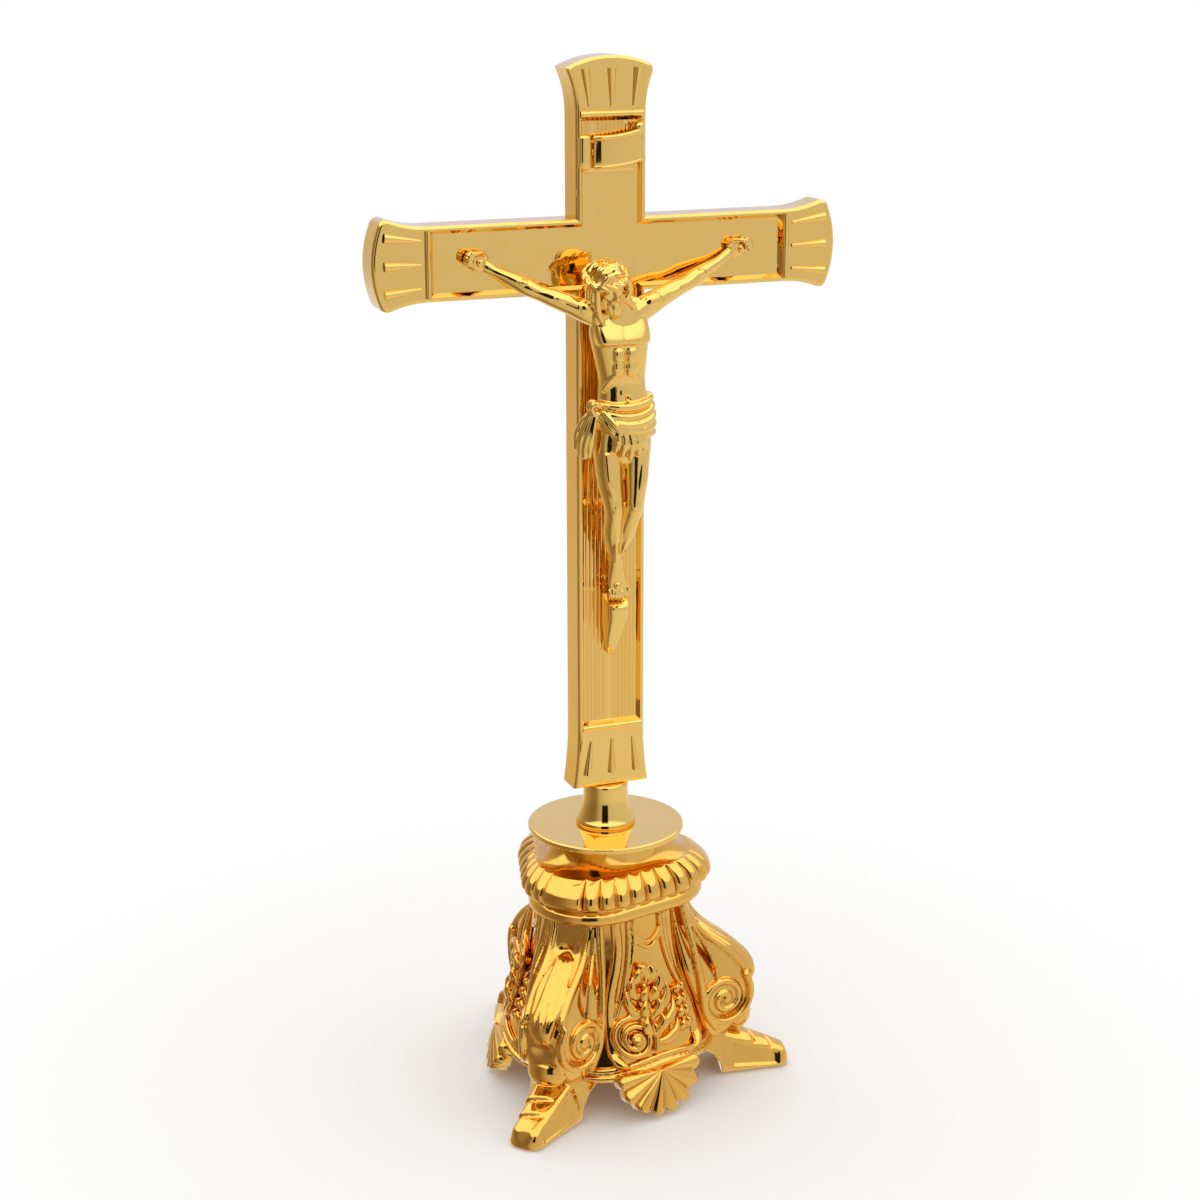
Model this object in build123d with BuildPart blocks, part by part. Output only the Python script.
from build123d import *
import math
import os

# Standing altar crucifix: a cross with its figure, clamped by one rod on a tripod base.
# Millimetres, Z up, front towards -Y. The origin is on the ground, in the middle of the plan.

os.makedirs("parts", exist_ok=True)

# Cross
bar_width = 18.0
bar_thickness = 9.0
crossbar_span = 120.4
crossbar_rise = 136.9
upper_arm_length = 47.4
end_width = 23.0
flare_length = 10.9
end_bulge = 2.8
end_corner_radius = 2.0
foot_end_width = 20.4
foot_flare_length = 16.2
edge_radius = 1.0
rim_width = 1.15
rim_slope = 0.8
field_depth = 1.2
bead_radius = 0.8
reed_radius = 1.15
reed_tip_radius = 0.4
reed_length = 9.0
reed_pitch = 6.2
reed_count = 3
reed_fan_angle = 7.0
groove_pitch = 1.05
groove_radius = 1.2
groove_depth = 0.05

# Figure: all its tables are shares of its height, from the toes to the crown of the head.
figure_height = 88.0
hand_rise_share = 0.998
hand_reach_share = 0.386
foot_nail_rise_share = 0.066
foot_nail_across_share = -0.004
foot_nail_seat_share = 0.081
hand_nail_seat_share = 0.0265
# height, across, stand-off from the field, half width, half depth
torso_shares = [
    (0.500, 0.000, 0.097, 0.078, 0.054),
    (0.591, 0.000, 0.097, 0.080, 0.052),
    (0.659, -0.003, 0.097, 0.069, 0.047),
    (0.759, -0.012, 0.106, 0.084, 0.056),
    (0.820, -0.018, 0.109, 0.085, 0.050),
    (0.862, -0.026, 0.112, 0.046, 0.034),
]
cloth_shares = [
    (0.455, -0.003, 0.099, 0.084, 0.060),
    (0.500, 0.000, 0.098, 0.093, 0.066),
    (0.570, 0.000, 0.098, 0.091, 0.063),
    (0.615, 0.000, 0.097, 0.083, 0.057),
]
drape_shares = [
    (0.450, -0.113, 0.088, 0.024, 0.014),
    (0.520, -0.106, 0.096, 0.018, 0.016),
    (0.585, -0.092, 0.104, 0.022, 0.020),
    (0.610, -0.080, 0.104, 0.012, 0.012),
]
# the legs' across values are measured each way from the line between them, which drifts
leg_shares = [
    (0.000, 0.012, 0.059, 0.016, 0.018),
    (0.055, 0.010, 0.056, 0.018, 0.023),
    (0.140, 0.010, 0.061, 0.017, 0.019),
    (0.225, 0.019, 0.084, 0.026, 0.031),
    (0.309, 0.027, 0.106, 0.032, 0.034),
    (0.443, 0.039, 0.102, 0.043, 0.048),
    (0.560, 0.038, 0.097, 0.044, 0.048),
]
leg_drift_shares = [0.001, -0.004, -0.010, -0.013, -0.010, -0.006, 0.000]
# across, height, stand-off, half height, half depth, from the shoulder to the finger tips
arm_shares = [
    (0.050, 0.838, 0.107, 0.040, 0.037),
    (0.095, 0.860, 0.102, 0.034, 0.033),
    (0.150, 0.884, 0.090, 0.029, 0.030),
    (0.216, 0.914, 0.071, 0.024, 0.025),
    (0.280, 0.942, 0.050, 0.025, 0.024),
    (0.335, 0.967, 0.026, 0.017, 0.014),
    (0.386, 0.998, 0.012, 0.026, 0.012),
    (0.425, 1.018, 0.010, 0.015, 0.008),
]
# share of the way from the base of the neck to the crown, half width, half depth
head_shares = [
    (0.00, 0.032, 0.032),
    (0.22, 0.036, 0.038),
    (0.45, 0.050, 0.055),
    (0.70, 0.056, 0.062),
    (0.90, 0.043, 0.048),
    (1.00, 0.016, 0.018),
]
# across, height, stand-off
neck_base_shares = (-0.028, 0.835, 0.112)
head_crown_shares = (-0.062, 1.000, 0.130)
nail_radius = 0.55
nail_head_radius = 1.05
nail_head_height = 0.6
nail_depth = 3.0
nail_clearance = 0.05

# Foot rest under the figure; its height is a share of the way from the toes to the lower bead
rest_height_share = 0.424
rest_width = 5.4
rest_depth = 7.4
rest_tip_width = 2.2
rest_tip_depth = 1.0

# Scroll above the figure
scroll_width = 17.0
scroll_height = 8.0
scroll_thickness = 0.9
scroll_bow = 1.6
scroll_roll_radius = 1.15
scroll_tilt = 7.0
scroll_drop = 22.6
scroll_boss_radius = 1.2
scroll_pin_spacing = 9.0
scroll_pin_radius = 0.6
scroll_pin_depth = 2.5
scroll_pin_clearance = 0.05

# Neck and drip pan
neck_height = 11.5
neck_radius = 6.0
neck_flare_radius = 7.9
neck_flare_height = 6.6
neck_edge_radius = 0.9
pan_radius = 20.25
pan_thickness = 1.6
pan_edge_radius = 0.5

# Base: a hollow bell with its collar, and legs and shells fixed to the bell's outside
base_height = 69.6
base_wall = 2.6
joint_gap = 0.05
base_turn = 13.57
leg_count = 3
seat_radius = 15.5
seat_wall = 7.5
cove_height = 4.6
cavity_neck_radius = 12.0
skirt_radius = 27.5
# radius as a share of the skirt's radius, height as a share of the base's height
flank_shares = [(1.000, 0.101), (0.985, 0.165), (0.880, 0.310), (0.745, 0.475), (0.672, 0.640)]
band_radius = 20.6
band_height = 5.5
collar_face_radius = 22.6
collar_corner_share = 0.78
collar_height = 15.0
collar_round = 5.6
collar_round_limit_share = 0.48
gadroon_radius = 1.9
gadroon_pitch = 4.6
gadroon_bury = 1.1
gadroon_height = 5.0
shield_width = 11.5
leg_reach = 38.6
leg_width = 13.4
# radius as a share of the leg's reach, height as a share of the base's height
leg_outline_shares = [
    (0.540, 0.690),
    (0.655, 0.588),
    (0.842, 0.507),
    (0.964, 0.428),
    (1.000, 0.345),
    (0.969, 0.251),
    (0.868, 0.180),
    (0.720, 0.115),
]
leg_root_shares = [(0.570, 0.210), (0.390, 0.640)]
volute_radius = 5.0
volute_rise = 1.1
volute_eye_radius = 1.7
volute_eye_rise = 0.8
volute_place_shares = (0.800, 0.325)
foot_reach = 49.6
foot_tip_width = 10.5
foot_tip_height = 5.2
foot_tip_top_width = 7.0
foot_root_width = 22.0
foot_root_height = 16.5
foot_root_top_width = 12.0
foot_arch_height = 8.5
shell_radius = 9.0
shell_thickness = 1.6
shell_rise = 11.4
shell_lean = 18.0
shell_lobe_count = 7
shell_lobe_radius = 1.9

# Rod and its hardware, M5
rod_radius = 2.5
rod_engagement = 14.0
rod_clearance = 0.08
thread_clearance = 0.03
washer_radius = 7.5
washer_thickness = 1.2
spring_radius = 4.6
spring_thickness = 1.2
spring_slit = 0.8
nut_flats = 8.0
nut_height = 4.0
rod_tail = 2.0

# Cuts run past the faces they open by this much.
overrun = 2.0

# Places that follow from the sizes
leg_angles = [base_turn - 150.0 + index * 360.0 / leg_count for index in range(leg_count)]


def reach_along_y(angle, side):
    """How far a foot's tip corner reaches along Y from the stem, for one side of the foot."""
    turn = math.radians(angle)
    return foot_reach * math.sin(turn) + side * foot_tip_width / 2 * math.cos(turn)


tip_reaches = [reach_along_y(angle, side) for angle in leg_angles for side in (-1, 1)]
stem_y = -(max(tip_reaches) + min(tip_reaches)) / 2
stem = Axis((0, stem_y, 0), (0, 0, 1))

neck_z = base_height + pan_thickness
cross_z = neck_z + neck_height
front_y = stem_y - bar_thickness / 2
field_y = front_y + field_depth
half_bar = bar_width / 2
field_half = half_bar - rim_width
floor_half = field_half - rim_slope
cross_height = crossbar_rise + upper_arm_length
arm_corner = crossbar_span / 2 - end_bulge
arm_waist = arm_corner - flare_length
top_corner = cross_height - end_bulge
top_waist = top_corner - flare_length
arm_field_end = arm_waist - bead_radius
top_field_end = top_waist - bead_radius
foot_field_end = foot_flare_length + bead_radius
scroll_rise = cross_height - scroll_drop
figure_z = cross_z + crossbar_rise - hand_rise_share * figure_height
rest_height = rest_height_share * (figure_z - cross_z - foot_field_end)
seat_under_z = base_height - seat_wall


def facing_front(y, z):
    """A plane that faces the front: across is X, up is Z."""
    return Plane(origin=(0, y, z), x_dir=(1, 0, 0), z_dir=(0, -1, 0))


def level(across, y, z):
    """A level plane centred on a point."""
    return Plane(origin=(across, y, z), x_dir=(1, 0, 0), z_dir=(0, 0, 1))


def along_leg(angle):
    """An upright plane through the stem: across is away from the stem, up is Z."""
    turn = math.radians(angle)
    outward = (math.cos(turn), math.sin(turn), 0)
    sideways = (math.sin(turn), -math.cos(turn), 0)
    return Plane(origin=(0, stem_y, 0), x_dir=outward, z_dir=sideways)


def figure_point(across_share, rise_share, stand_off_share):
    """A point of the figure from its shares of the figure's height."""
    return Vector(
        across_share * figure_height,
        field_y - stand_off_share * figure_height,
        figure_z + rise_share * figure_height,
    )


def level_sections(shares, drifts, side):
    """Level ellipses given by a table of shares, for a loft."""
    sections = []
    for (rise, across, stand_off, wide, deep), drift in zip(shares, drifts):
        middle = figure_point(side * across + drift, rise, stand_off)
        with BuildSketch(level(middle.X, middle.Y, middle.Z)) as section:
            Ellipse(wide * figure_height, deep * figure_height)
        sections.append(section.sketch)
    return sections


hand_nails = [figure_point(side * hand_reach_share, hand_rise_share, 0) for side in (-1, 1)]
foot_nail = figure_point(foot_nail_across_share, foot_nail_rise_share, 0)
nail_points = hand_nails + [foot_nail]
nail_seats = [hand_nail_seat_share * figure_height] * 2 + [foot_nail_seat_share * figure_height]
pin_points = [
    Vector(side * scroll_pin_spacing / 2, field_y, cross_z + scroll_rise)
    for side in (-1, 1)
]
forwards = (90, 0, 0)

# Cross body
with BuildPart() as cross_body:
    with BuildSketch(facing_front(stem_y + bar_thickness / 2, cross_z)):
        with BuildLine():
            Line((0, 0), (foot_end_width / 2, 0))
            TangentArc((half_bar, foot_flare_length), (foot_end_width / 2, 0), tangent=(0, -1))
            Polyline(
                (half_bar, foot_flare_length),
                (half_bar, crossbar_rise - half_bar),
                (arm_waist, crossbar_rise - half_bar),
            )
            TangentArc(
                (arm_waist, crossbar_rise - half_bar),
                (arm_corner, crossbar_rise - end_width / 2),
                tangent=(1, 0),
            )
            ThreePointArc(
                (arm_corner, crossbar_rise - end_width / 2),
                (arm_corner + end_bulge, crossbar_rise),
                (arm_corner, crossbar_rise + end_width / 2),
            )
            TangentArc(
                (arm_waist, crossbar_rise + half_bar),
                (arm_corner, crossbar_rise + end_width / 2),
                tangent=(1, 0),
            )
            Polyline(
                (arm_waist, crossbar_rise + half_bar),
                (half_bar, crossbar_rise + half_bar),
                (half_bar, top_waist),
            )
            TangentArc((half_bar, top_waist), (end_width / 2, top_corner), tangent=(0, 1))
            TangentArc((0, cross_height), (end_width / 2, top_corner), tangent=(1, 0))
            mirror(about=Plane.YZ)
        make_face()
    extrude(amount=bar_thickness)
    corners = cross_body.edges().filter_by(Axis.Y)
    arm_tips = corners.sort_by(Axis.X)[:2] + corners.sort_by(Axis.X)[-2:]
    fillet(arm_tips + corners.sort_by(Axis.Z)[-3:-1], end_corner_radius)
    front_edges = cross_body.faces().sort_by(Axis.Y)[0].outer_wire().edges()
    back_edges = cross_body.faces().sort_by(Axis.Y)[-1].outer_wire().edges()
    fillet(front_edges + back_edges, edge_radius)
    # sunk field inside the rim, with sloping walls
    with BuildSketch(facing_front(front_y, cross_z)):
        with Locations((0, (top_field_end + foot_field_end) / 2)):
            Rectangle(2 * field_half, top_field_end - foot_field_end)
        with Locations((0, crossbar_rise)):
            Rectangle(2 * arm_field_end, 2 * field_half)
    rim_angle = math.degrees(math.atan2(rim_slope, field_depth))
    extrude(amount=-field_depth, taper=rim_angle, mode=Mode.SUBTRACT)
    # half-round beads between the field and the four end panels
    rim_front = facing_front(front_y, cross_z).location
    bead_places = [
        Location((0, top_waist, 0), (0, 90, 0)),
        Location((0, foot_flare_length, 0), (0, 90, 0)),
        Location((arm_waist, crossbar_rise, 0), (90, 0, 0)),
        Location((-arm_waist, crossbar_rise, 0), (90, 0, 0)),
    ]
    with Locations(*[rim_front * place for place in bead_places]):
        Cylinder(bead_radius, bar_width - 2 * edge_radius)
    # fanned reeds on the end panels, widest at their outer ends
    panel_places = [
        Location((0, (top_waist + top_corner) / 2 + bead_radius, 0), (0, 0, 0)),
        Location((0, foot_flare_length / 2, 0), (0, 0, 180)),
        Location(((arm_waist + arm_corner) / 2 + bead_radius, crossbar_rise, 0), (0, 0, -90)),
        Location((-(arm_waist + arm_corner) / 2 - bead_radius, crossbar_rise, 0), (0, 0, 90)),
    ]
    reed_steps = [index - (reed_count - 1) / 2 for index in range(reed_count)]
    reed_places = [
        rim_front * place * Location((step * reed_pitch, 0, 0), (0, 0, -step * reed_fan_angle))
        for place in panel_places
        for step in reed_steps
    ]
    with Locations(*reed_places):
        Cone(reed_radius, reed_tip_radius, reed_length, rotation=forwards)
    # fine upright grooves in the shaft's field, below the crossbar and above the scroll
    groove_count = math.floor(2 * floor_half / groove_pitch)
    groove_runs = [
        (foot_field_end + rim_slope, crossbar_rise - floor_half),
        (scroll_rise, top_field_end - rim_slope),
    ]
    for low, high in groove_runs:
        with BuildSketch(level(0, field_y - groove_radius + groove_depth, cross_z + low)):
            with GridLocations(groove_pitch, 0, groove_count, 1):
                Circle(groove_radius)
        extrude(amount=high - low, mode=Mode.SUBTRACT)
    # holes for the rod, the nails and the scroll's pins
    with BuildSketch(level(0, stem_y, cross_z)):
        Circle(rod_radius + thread_clearance)
    extrude(amount=rod_engagement, mode=Mode.SUBTRACT)
    with BuildSketch(facing_front(field_y, 0)):
        with Locations(*[(point.X, point.Z) for point in nail_points]):
            Circle(nail_radius + nail_clearance)
    extrude(amount=-nail_depth - nail_clearance, mode=Mode.SUBTRACT)
    with BuildSketch(facing_front(field_y, 0)):
        with Locations(*[(point.X, point.Z) for point in pin_points]):
            Circle(scroll_pin_radius + scroll_pin_clearance)
    extrude(amount=-scroll_pin_depth - scroll_pin_clearance, mode=Mode.SUBTRACT)
cross_body.part.label = "cross_body"
export_step(cross_body.part, "parts/cross_body.step")

# Scroll above the figure: a bowed plate between two rolls, level with the field at its back
with BuildPart() as titulus_scroll:
    scroll_plane = Plane(
        Location((0, front_y, cross_z + scroll_rise)) * Location((0, 0, 0), (0, -scroll_tilt, 0))
    )
    roll_across = scroll_width / 2 - scroll_roll_radius
    roll_back = -scroll_roll_radius
    with BuildSketch(scroll_plane.offset(-scroll_height / 2)):
        with BuildLine():
            inner = ThreePointArc(
                (-roll_across, roll_back),
                (0, roll_back - scroll_bow),
                (roll_across, roll_back),
            )
            outer = ThreePointArc(
                (-roll_across, roll_back - scroll_thickness),
                (0, roll_back - scroll_bow - scroll_thickness),
                (roll_across, roll_back - scroll_thickness),
            )
            Line(inner @ 0, outer @ 0)
            Line(inner @ 1, outer @ 1)
        make_face()
        with Locations((-roll_across, roll_back), (roll_across, roll_back)):
            Circle(scroll_roll_radius)
    extrude(amount=scroll_height)
    # bosses that reach back to the field and take the pins
    with BuildSketch(facing_front(field_y, 0)):
        with Locations(*[(point.X, point.Z) for point in pin_points]):
            Circle(scroll_boss_radius)
    extrude(amount=field_depth + scroll_roll_radius + scroll_bow)
    with BuildSketch(facing_front(field_y, 0)):
        with Locations(*[(point.X, point.Z) for point in pin_points]):
            Circle(scroll_pin_radius + scroll_pin_clearance)
    extrude(amount=scroll_roll_radius + scroll_pin_clearance, mode=Mode.SUBTRACT)
titulus_scroll.part.label = "titulus_scroll"
export_step(titulus_scroll.part, "parts/titulus_scroll.step")

with BuildPart() as titulus_pins:
    with BuildSketch(facing_front(field_y + scroll_pin_depth, 0)):
        with Locations(*[(point.X, point.Z) for point in pin_points]):
            Circle(scroll_pin_radius)
    extrude(amount=scroll_pin_depth + scroll_roll_radius)
titulus_pins.part.label = "titulus_pins"
export_step(titulus_pins.part, "parts/titulus_pins.step")

# Cast figure: torso, legs, arms, head, cloth and its hanging end as one solid
with BuildPart() as corpus:
    loft(level_sections(torso_shares, [0] * len(torso_shares), 1))
    for side in (-1, 1):
        loft(level_sections(leg_shares, leg_drift_shares, side))
    loft(level_sections(cloth_shares, [0] * len(cloth_shares), 1))
    loft(level_sections(drape_shares, [0] * len(drape_shares), 1))
    for side in (-1, 1):
        joints = [figure_point(side * across, rise, off) for across, rise, off, high, deep in arm_shares]
        ahead = joints[1:] + joints[-1:]
        behind = joints[:1] + joints[:-1]
        for joint, front, back, shares in zip(joints, ahead, behind, arm_shares):
            run = (front - back).normalized()
            with BuildSketch(Plane(origin=joint, x_dir=(0, -1, 0), z_dir=run)):
                Ellipse(shares[4] * figure_height, shares[3] * figure_height)
        loft()
    neck_base = figure_point(*neck_base_shares)
    crown = figure_point(*head_crown_shares)
    for way, wide, deep in head_shares:
        middle = neck_base + (crown - neck_base) * way
        with BuildSketch(Plane(origin=middle, x_dir=(1, 0, 0), z_dir=crown - neck_base)):
            Ellipse(wide * figure_height, deep * figure_height)
    loft()
    # the backs of the hands lie flat on the field
    split(bisect_by=facing_front(field_y, 0), keep=Keep.TOP)
    with BuildSketch(facing_front(field_y + overrun, 0)):
        with Locations(*[(point.X, point.Z) for point in nail_points]):
            Circle(nail_radius + nail_clearance)
    extrude(amount=overrun + max(nail_seats), mode=Mode.SUBTRACT)
corpus.part.label = "corpus"
export_step(corpus.part, "parts/corpus.step")

with BuildPart() as foot_rest:
    rest_top = figure_point(0, 0, 0)
    with BuildSketch(level(rest_top.X, rest_top.Y - rest_depth / 2, rest_top.Z)):
        Rectangle(rest_width, rest_depth)
    with BuildSketch(level(rest_top.X, rest_top.Y - rest_tip_depth / 2, rest_top.Z - rest_height)):
        Rectangle(rest_tip_width, rest_tip_depth)
    loft()
foot_rest.part.label = "foot_rest"
export_step(foot_rest.part, "parts/foot_rest.step")

with BuildPart() as corpus_nails:
    for point, seat in zip(nail_points, nail_seats):
        with BuildSketch(facing_front(field_y + nail_depth, 0)):
            with Locations((point.X, point.Z)):
                Circle(nail_radius)
        extrude(amount=nail_depth + seat)
        with BuildSketch(facing_front(field_y - seat, 0)):
            with Locations((point.X, point.Z)):
                Circle(nail_head_radius)
        extrude(amount=nail_head_height)
corpus_nails.part.label = "corpus_nails"
export_step(corpus_nails.part, "parts/corpus_nails.step")

# Turned neck and drip pan
bore_radius = rod_radius + rod_clearance
with BuildPart() as neck_collar:
    with BuildSketch(along_leg(0)):
        with BuildLine():
            Polyline(
                (neck_radius, neck_z + neck_flare_height),
                (neck_radius, cross_z),
                (bore_radius, cross_z),
                (bore_radius, neck_z),
                (neck_flare_radius, neck_z),
                close=True,
            )
        make_face()
    revolve(axis=stem)
    neck_top = neck_collar.edges().filter_by(GeomType.CIRCLE).group_by(Axis.Z)[-1]
    fillet(neck_top.sort_by(SortBy.RADIUS)[-1], neck_edge_radius)
neck_collar.part.label = "neck_collar"
export_step(neck_collar.part, "parts/neck_collar.step")

with BuildPart() as drip_pan:
    with BuildSketch(level(0, stem_y, base_height)):
        Circle(pan_radius)
        Circle(bore_radius, mode=Mode.SUBTRACT)
    extrude(amount=pan_thickness)
    pan_rims = drip_pan.edges().filter_by(GeomType.CIRCLE).sort_by(SortBy.RADIUS)[-2:]
    fillet(pan_rims, pan_edge_radius)
drip_pan.part.label = "drip_pan"
export_step(drip_pan.part, "parts/drip_pan.step")

# Hollow bell with its collar
flank = [(skirt_radius * wide, base_height * rise) for wide, rise in flank_shares]
hollow = [(radius - base_wall, rise) for radius, rise in flank]
waist_z = flank[-1][1]
collar_z = waist_z + band_height
collar_top_z = base_height - cove_height
half_turn = math.pi / leg_count
collar_corner_radius = collar_face_radius * collar_corner_share
collar_straight = math.tan(half_turn) * (collar_face_radius - collar_corner_radius)
gadroon_run = 2 * (collar_straight + half_turn * collar_corner_radius) - shield_width
gadroon_count = math.floor(gadroon_run / gadroon_pitch)


def collar_place(distance):
    """A place on the collar's plan, at a distance along its edge from the middle of a face."""
    past = max(abs(distance) - collar_straight, 0) / collar_corner_radius
    side = math.copysign(1, distance)
    outward = collar_face_radius - collar_corner_radius * (1 - math.cos(past)) - gadroon_bury * math.cos(past)
    along = min(abs(distance), collar_straight) + (collar_corner_radius - gadroon_bury) * math.sin(past)
    return outward, side * along


def standing_out(angle, radius, rise, lean):
    """A plane that faces away from the stem, leaning back by an angle: across is level, up is Z."""
    turn = math.radians(angle)
    tip = math.radians(lean)
    outward = Vector(math.cos(turn), math.sin(turn), 0)
    facing = outward * math.cos(tip) + Vector(0, 0, math.sin(tip))
    return Plane(
        origin=outward * radius + Vector(0, stem_y, rise),
        x_dir=(-math.sin(turn), math.cos(turn), 0),
        z_dir=facing,
    )


with BuildPart() as base_casting:
    # rounded three-sided collar, its corners over the legs
    collar_plane = Plane(level(0, stem_y, collar_z).location * Location((0, 0, 0), (0, 0, leg_angles[0])))
    with BuildSketch(collar_plane) as collar_plan:
        RegularPolygon(collar_face_radius, leg_count, major_radius=False)
        fillet(collar_plan.vertices(), collar_corner_radius)
    extrude(amount=collar_height)
    collar_rims = base_casting.faces().filter_by(Axis.Z)
    fillet(collar_rims.edges(), min(collar_round, collar_height * collar_round_limit_share))
    # upright lobes along each face of the collar, between the plain corners
    face_angles = [angle + 180.0 for angle in leg_angles]
    lobe_steps = [index - (gadroon_count - 1) / 2 for index in range(gadroon_count)]
    lobe_middle = level(0, stem_y, collar_z + collar_height / 2).location
    lobe_places = [
        lobe_middle * Location((0, 0, 0), (0, 0, angle)) * Location(collar_place(step * gadroon_pitch))
        for angle in face_angles
        for step in lobe_steps
    ]
    with Locations(*lobe_places):
        Cylinder(gadroon_radius, gadroon_height)
        with Locations((0, 0, gadroon_height / 2), (0, 0, -gadroon_height / 2)):
            Sphere(gadroon_radius)
    # bell-shaped core with a band under the collar and a cove up to the seat
    with BuildSketch(along_leg(0)):
        with BuildLine():
            flank_line = Spline(*flank)
            Polyline(flank_line @ 1, (band_radius, waist_z), (band_radius, collar_top_z))
            TangentArc((seat_radius, base_height), (band_radius, collar_top_z), tangent=(0, -1))
            Polyline((seat_radius, base_height), (0, base_height), (0, flank[0][1]), flank_line @ 0)
        make_face()
    revolve(axis=stem)
    # hollow underside and the rod's bore
    with BuildSketch(along_leg(0)):
        with BuildLine():
            hollow_line = Spline(*hollow)
            Polyline(
                hollow_line @ 1,
                (cavity_neck_radius, seat_under_z),
                (0, seat_under_z),
                (0, -overrun),
                (hollow[0][0], -overrun),
                hollow_line @ 0,
            )
        make_face()
    revolve(axis=stem, mode=Mode.SUBTRACT)
    with BuildSketch(level(0, stem_y, seat_under_z - overrun)):
        Circle(bore_radius)
    extrude(amount=seat_wall + 2 * overrun, mode=Mode.SUBTRACT)
    # the bell is cast as equal sides that meet behind the legs
    with BuildSketch(level(0, stem_y, -overrun)):
        with Locations(*[Location((0, 0), angle) for angle in leg_angles]):
            Rectangle(leg_reach, joint_gap, align=(Align.MIN, Align.CENTER))
    extrude(amount=base_height + 2 * overrun, mode=Mode.SUBTRACT)
base_casting.part.label = "base_casting"
export_step(base_casting.part, "parts/base_casting.step")

# The bell, its hollow and the collar take this room, which the legs and shells are cut back to.
with BuildPart() as bell_room:
    with BuildSketch(along_leg(0)):
        with BuildLine():
            room_line = Spline(*[(radius + joint_gap, rise) for radius, rise in flank])
            Polyline(
                room_line @ 1,
                (band_radius + joint_gap, waist_z),
                (band_radius + joint_gap, collar_z),
                (leg_reach + overrun, collar_z),
                (leg_reach + overrun, base_height),
                (0, base_height),
                (0, -overrun),
                (hollow[0][0], -overrun),
                hollow[0],
                room_line @ 0,
            )
        make_face()
    revolve(axis=stem)

with BuildPart() as scroll_legs:
    # legs with a volute and its eye on both sides
    outline = [(leg_reach * wide, base_height * rise) for wide, rise in leg_outline_shares]
    root = [(leg_reach * wide, base_height * rise) for wide, rise in leg_root_shares]
    volute_place = (leg_reach * volute_place_shares[0], base_height * volute_place_shares[1])
    for angle in leg_angles:
        with BuildSketch(along_leg(angle)):
            with BuildLine():
                scroll = Spline(*outline)
                Polyline(scroll @ 1, *root, scroll @ 0)
            make_face()
        extrude(amount=leg_width / 2, both=True)
        volute_steps = ((volute_radius, volute_rise), (volute_eye_radius, volute_rise + volute_eye_rise))
        for radius, rise in volute_steps:
            with BuildSketch(along_leg(angle)):
                with Locations(volute_place):
                    Circle(radius)
            extrude(amount=leg_width / 2 + rise, both=True)
    # wedge feet with sloping sides, hollowed by an arch at the inner end and cut flat at the ground
    foot_root = skirt_radius - 2 * base_wall
    foot_ends = [
        (foot_root, foot_root_width, foot_root_top_width, foot_root_height),
        (foot_reach, foot_tip_width, foot_tip_top_width, foot_tip_height),
    ]
    for angle in leg_angles:
        for radius, width, top_width, height in foot_ends:
            half_under = (width + (width - top_width) * overrun / height) / 2
            with BuildSketch(standing_out(angle, radius, 0, 0)):
                Polygon(
                    (-half_under, -overrun),
                    (half_under, -overrun),
                    (top_width / 2, height),
                    (-top_width / 2, height),
                    align=None,
                )
        loft()
        with BuildSketch(along_leg(angle)):
            with Locations((foot_root, 0)):
                Circle(foot_arch_height)
        extrude(amount=foot_root_width, both=True, mode=Mode.SUBTRACT)
    split(bisect_by=Plane.XY, keep=Keep.TOP)
    add(bell_room.part, mode=Mode.SUBTRACT)
scroll_legs.part.label = "scroll_legs"
export_step(scroll_legs.part, "parts/scroll_legs.step")

with BuildPart() as face_shells:
    # shells with a lobed edge, hanging below the middle of each face
    lobe_angles = [180.0 * (index + 0.5) / shell_lobe_count - 180.0 for index in range(shell_lobe_count)]
    for angle in face_angles:
        with BuildSketch(standing_out(angle, skirt_radius - base_wall, shell_rise, shell_lean)):
            Circle(shell_radius)
            with Locations(*[Location((0, 0), tilt) * Location((shell_radius, 0)) for tilt in lobe_angles]):
                Circle(shell_lobe_radius)
        extrude(amount=base_wall + shell_thickness)
    add(bell_room.part, mode=Mode.SUBTRACT)
face_shells.part.label = "face_shells"
export_step(face_shells.part, "parts/face_shells.step")

# Rod, washers and nut, stacked down from the underside of the seat
washer_z = seat_under_z - washer_thickness
spring_z = washer_z - spring_thickness
nut_z = spring_z - nut_height
rod_z = nut_z - rod_tail

with BuildPart() as plain_washer:
    with BuildSketch(level(0, stem_y, washer_z)):
        Circle(washer_radius)
        Circle(bore_radius, mode=Mode.SUBTRACT)
    extrude(amount=washer_thickness)
plain_washer.part.label = "plain_washer"
export_step(plain_washer.part, "parts/plain_washer.step")

with BuildPart() as spring_washer:
    with BuildSketch(level(0, stem_y, spring_z)):
        Circle(spring_radius)
        Circle(bore_radius, mode=Mode.SUBTRACT)
        with Locations((spring_radius, 0)):
            Rectangle(2 * spring_radius, spring_slit, mode=Mode.SUBTRACT)
    extrude(amount=spring_thickness)
spring_washer.part.label = "spring_washer"
export_step(spring_washer.part, "parts/spring_washer.step")

with BuildPart() as clamp_nut:
    with BuildSketch(level(0, stem_y, nut_z)):
        RegularPolygon(nut_flats / 2, 6, major_radius=False)
        Circle(rod_radius + thread_clearance, mode=Mode.SUBTRACT)
    extrude(amount=nut_height)
clamp_nut.part.label = "clamp_nut"
export_step(clamp_nut.part, "parts/clamp_nut.step")

with BuildPart() as tie_rod:
    with BuildSketch(level(0, stem_y, rod_z)):
        Circle(rod_radius)
    extrude(amount=cross_z + rod_engagement - rod_z)
tie_rod.part.label = "tie_rod"
export_step(tie_rod.part, "parts/tie_rod.step")
